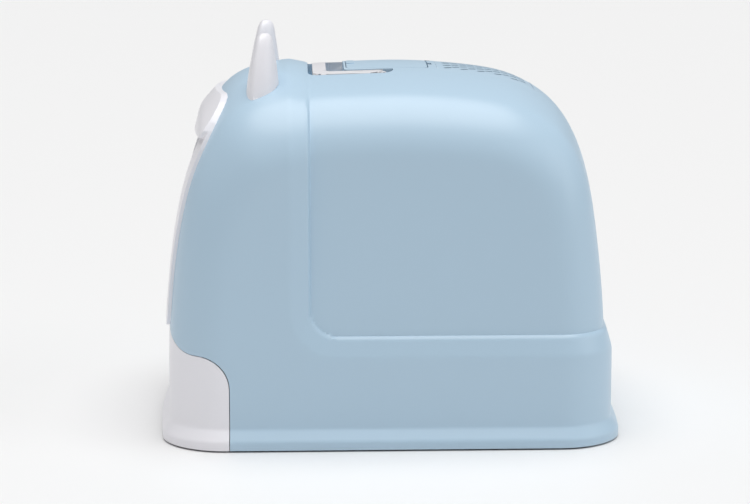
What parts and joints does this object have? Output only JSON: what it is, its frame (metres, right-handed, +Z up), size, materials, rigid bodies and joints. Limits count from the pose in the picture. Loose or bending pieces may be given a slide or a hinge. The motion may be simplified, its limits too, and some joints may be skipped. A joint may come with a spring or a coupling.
{
  "type": "cat litter box",
  "caption": "Rounded hooded cat litter box with ear-shaped trims, a swing flap door, a pull-out litter drawer, a top hatch over a filter and a fold-down carry handle.",
  "frame": {"origin": "on the floor under the middle of the flared foot", "axes": "+Z up, the door and the drawer front face -Y, +X is to the right seen from the door"},
  "size_m": [0.412, 0.522, 0.448],
  "materials": {
    "hood_blue": "light blue moulded plastic, satin gloss",
    "trim_white": "white moulded plastic, satin gloss",
    "handle_white": "white moulded plastic with a finely ribbed grip",
    "base_grey": "grey moulded plastic",
    "pan_grey": "light grey moulded plastic",
    "flap_clear": "frosted clear plastic",
    "filter_felt": "charcoal felt",
    "foot_rubber": "soft dark rubber",
    "steel": "plain steel"
  },
  "bodies": {
    "housing": {"hood_shell": "hood_blue", "door_frame": "trim_white", "hinge_cover": "trim_white", "ear_left": "trim_white", "ear_right": "trim_white", "vent_panel": "hood_blue", "filter_basket": "hood_blue", "carbon_filter": "filter_felt", "base_plate": "base_grey", "drawer_rail_left": "base_grey", "drawer_rail_right": "base_grey", "foot_front_left": "foot_rubber", "foot_front_right": "foot_rubber", "foot_rear_left": "foot_rubber", "foot_rear_right": "foot_rubber", "base_screws": "steel", "door_hinge_rod": "steel", "handle_pivot_pins": "steel", "hatch_hinge_pin": "steel"},
    "door": {"door_flap": "flap_clear"},
    "handle": {"carry_handle": "handle_white"},
    "hatch": {"top_hatch": "hood_blue"},
    "drawer": {"drawer_pan": "pan_grey", "drawer_front": "trim_white", "pull_cup": "trim_white", "drawer_front_screws": "steel", "step_grate": "pan_grey"}
  },
  "joints": [
    {"name": "drawer_slide", "type": "slide", "parent": "housing", "child": "drawer", "axis": [0, -1, 0], "range_m": [0, 0.36]},
    {"name": "door_swing", "type": "hinge", "parent": "housing", "child": "door", "pos_m": [0, -0.204, 0.346], "axis": [1, 0, 0], "range_deg": [-30, 70]},
    {"name": "handle_swing", "type": "hinge", "parent": "housing", "child": "handle", "pos_m": [0, -0.006, 0.396], "axis": [-1, 0, 0], "range_deg": [0, 95]},
    {"name": "hatch_open", "type": "hinge", "parent": "housing", "child": "hatch", "pos_m": [0, 0.0477, 0.4043], "axis": [-1, 0, 0], "range_deg": [0, 95]}
  ]
}
